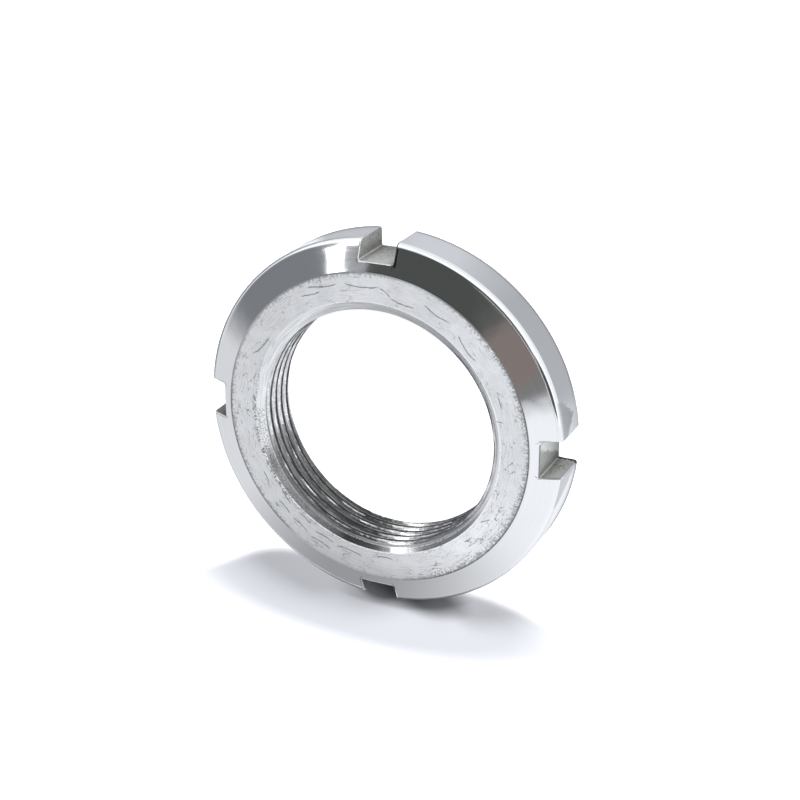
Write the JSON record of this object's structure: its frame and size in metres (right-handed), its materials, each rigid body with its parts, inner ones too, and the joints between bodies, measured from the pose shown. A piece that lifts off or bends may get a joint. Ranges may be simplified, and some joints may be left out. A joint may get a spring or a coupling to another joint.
{
  "type": "slotted lock nut",
  "caption": "Flat ring nut with a fine internal thread, a bevelled locating face with a rounded shoulder, and square hook-spanner slots milled across its rim.",
  "frame": {"origin": "centre of the plain back face, on the thread's axis, at the bottom of the bounding box", "axes": "+Z along the thread's axis, out of the bevelled locating face; +X and +Y each through the middle of a slot; the nut lies on its back face"},
  "size_m": [0.0518, 0.0518, 0.008],
  "materials": {
    "steel": "turned bright steel: satin locating face, polished bevel and rim, milled slots"
  },
  "bodies": {
    "root": {"lock_nut": "steel"}
  },
  "joints": []
}
